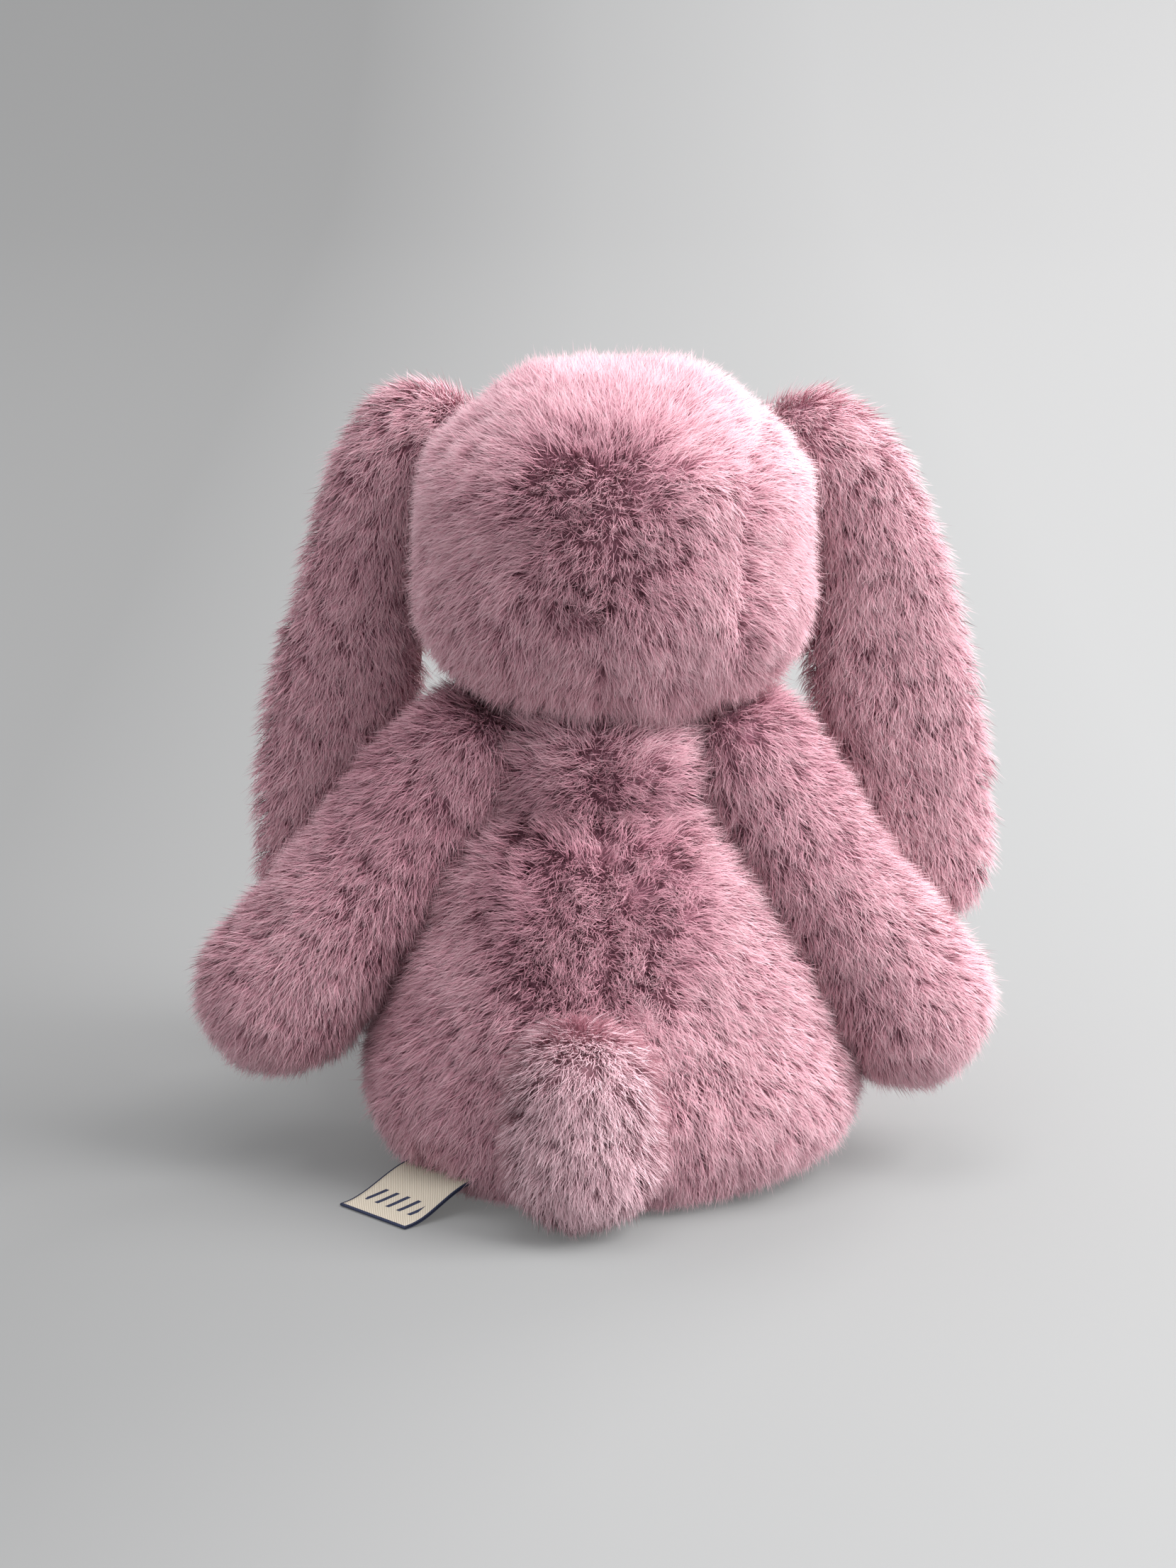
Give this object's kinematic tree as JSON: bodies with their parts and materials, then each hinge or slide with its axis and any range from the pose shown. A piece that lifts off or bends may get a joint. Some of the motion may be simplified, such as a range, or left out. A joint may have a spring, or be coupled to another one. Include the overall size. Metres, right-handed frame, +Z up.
{
  "type": "stuffed bunny rabbit",
  "caption": "Seated long-pile plush bunny with drooping ears, splayed arms, forward legs, a fluffy tail and a folded woven label at the hip.",
  "frame": {"origin": "centre of the flat seat face, on the surface that the bunny sits on", "axes": "+Z up out of the seat; -Y the way the face looks; +X towards the bunny's left"},
  "size_m": [0.2039, 0.2059, 0.206],
  "materials": {
    "fur": "long pile plush, dusty pink tips over dark mauve roots",
    "tail_fur": "long pile plush, pale pink",
    "stuffing": "matte fibre fill",
    "ear_lining": "short velvety pile, pale cream pink",
    "thread": "satin stitched thread",
    "neck_thread": "strong twisted thread",
    "eye": "gloss black",
    "washer": "matte",
    "pouch": "plain woven cotton, filled with pellets",
    "label": "ribbed woven tape, cream with navy edges"
  },
  "bodies": {
    "torso": {"body_plush": "fur", "body_stuffing": "stuffing", "bean_pouch": "pouch", "woven_label": "label"},
    "neck": {"neck_cord": "neck_thread"},
    "head": {"head_plush": "fur", "head_stuffing": "stuffing", "nose_stitching": "thread", "mouth_stitching": "thread", "eye_left": "eye", "eye_right": "eye", "eye_washer_left": "washer", "eye_washer_right": "washer"},
    "ear_left": {"ear_left_plush": "fur", "ear_left_lining": "ear_lining"},
    "ear_right": {"ear_right_plush": "fur", "ear_right_lining": "ear_lining"},
    "arm_left": {"arm_left_plush": "fur", "arm_left_stuffing": "stuffing"},
    "arm_right": {"arm_right_plush": "fur", "arm_right_stuffing": "stuffing"},
    "leg_left": {"leg_left_plush": "fur", "leg_left_stuffing": "stuffing"},
    "leg_right": {"leg_right_plush": "fur", "leg_right_stuffing": "stuffing"},
    "tail": {"tail_plush": "tail_fur", "tail_stuffing": "stuffing"}
  },
  "joints": [
    {"name": "neck_nod", "type": "hinge", "parent": "torso", "child": "neck", "pos_m": [0, 0, 0.112], "axis": [1, 0, 0], "range_deg": [-10, 5], "stiffness_Nm_per_rad": 0.6},
    {"name": "head_tilt", "type": "hinge", "parent": "neck", "child": "head", "pos_m": [0, 0, 0.112], "axis": [0, 1, 0], "range_deg": [-9, 9], "stiffness_Nm_per_rad": 0.6},
    {"name": "ear_left_swing", "type": "hinge", "parent": "head", "child": "ear_left", "pos_m": [0.044, -0.024, 0.187], "axis": [0, -1, 0], "range_deg": [0, 75], "stiffness_Nm_per_rad": 0.01},
    {"name": "ear_right_swing", "type": "hinge", "parent": "head", "child": "ear_right", "pos_m": [-0.05, -0.024, 0.187], "axis": [0, 1, 0], "range_deg": [0, 75], "stiffness_Nm_per_rad": 0.01},
    {"name": "arm_left_raise", "type": "hinge", "parent": "torso", "child": "arm_left", "pos_m": [0.033, 0.006, 0.104], "axis": [0, -1, 0], "range_deg": [0, 50], "stiffness_Nm_per_rad": 0.12},
    {"name": "arm_right_raise", "type": "hinge", "parent": "torso", "child": "arm_right", "pos_m": [-0.033, 0.006, 0.104], "axis": [0, 1, 0], "range_deg": [0, 50], "stiffness_Nm_per_rad": 0.12},
    {"name": "leg_left_lift", "type": "hinge", "parent": "torso", "child": "leg_left", "pos_m": [0.03, -0.036, 0.0196], "axis": [-1, 0, 0], "range_deg": [0, 35], "stiffness_Nm_per_rad": 0.15},
    {"name": "leg_right_lift", "type": "hinge", "parent": "torso", "child": "leg_right", "pos_m": [-0.03, -0.036, 0.0196], "axis": [-1, 0, 0], "range_deg": [0, 35], "stiffness_Nm_per_rad": 0.15},
    {"name": "tail_wag", "type": "hinge", "parent": "torso", "child": "tail", "pos_m": [0.005, 0.052, 0.023], "axis": [0, 0, 1], "range_deg": [-12, 12], "stiffness_Nm_per_rad": 0.03}
  ]
}
